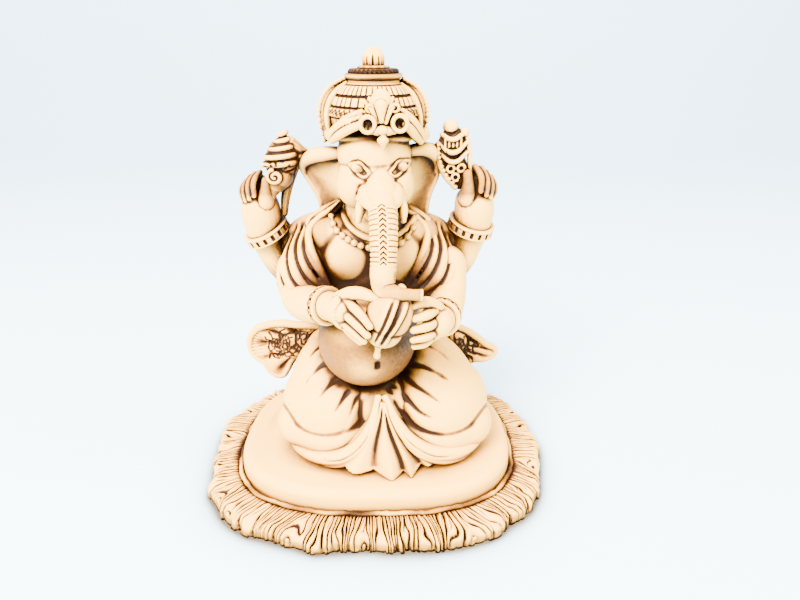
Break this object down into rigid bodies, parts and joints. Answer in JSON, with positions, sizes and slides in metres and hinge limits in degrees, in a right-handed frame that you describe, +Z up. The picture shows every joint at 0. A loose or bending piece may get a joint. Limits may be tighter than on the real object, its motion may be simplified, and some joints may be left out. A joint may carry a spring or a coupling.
{
  "type": "ganesha idol",
  "caption": "Seated elephant-headed deity figure with raised rear arms and tiered crown, cross-legged on a cushion plinth with a fringed rug base.",
  "frame": {"origin": "centre of the base, on its flat underside", "axes": "+Z up to the tip of the crown, the figure faces -Y, its left hand is towards +X"},
  "size_m": [0.129, 0.104, 0.15],
  "materials": {
    "skin": "satin cast resin, ivory with a thin brown wash",
    "cloth": "satin cast resin, ivory, brown wash in the folds",
    "ornament": "satin cast resin, ivory, strong brown wash in the carving",
    "plinth": "smooth satin cast resin, ivory",
    "rug": "satin cast resin, ivory, strong brown wash between the fringe strands"
  },
  "bodies": {
    "root": {"belly": "skin", "chest": "skin", "head": "skin", "neck": "skin", "trunk": "skin", "right_tusk": "skin", "left_tusk": "skin", "right_eye": "skin", "left_eye": "skin", "right_ear": "skin", "left_ear": "skin", "right_forearm": "skin", "left_forearm": "skin", "right_hand": "skin", "left_hand": "skin", "right_raised_upper_arm": "skin", "left_raised_upper_arm": "skin", "right_raised_forearm": "skin", "left_raised_forearm": "skin", "right_raised_hand": "skin", "left_raised_hand": "skin", "right_leg": "cloth", "left_leg": "cloth", "seat_drape": "cloth", "right_hem": "cloth", "left_hem": "cloth", "pleat_fan": "cloth", "right_shoulder_drape": "cloth", "left_shoulder_drape": "cloth", "right_sash_end": "cloth", "left_sash_end": "cloth", "back_drape": "cloth", "right_bangle": "ornament", "left_bangle": "ornament", "held_conch": "ornament", "right_armlet": "ornament", "left_armlet": "ornament", "raised_conch": "ornament", "raised_mace": "ornament", "crown_cap": "ornament", "crown_collar": "ornament", "crown_disc": "ornament", "crown_finial": "ornament", "right_crown_arch": "ornament", "right_brow_flap": "ornament", "right_rosette": "ornament", "left_crown_arch": "ornament", "left_brow_flap": "ornament", "left_rosette": "ornament", "crown_plaque": "ornament", "brow_pendant": "ornament", "collar_band": "ornament", "bead_string": "ornament", "plinth": "plinth", "rug_field": "rug", "border_cord": "rug", "fringe_border": "rug"}
  },
  "joints": []
}
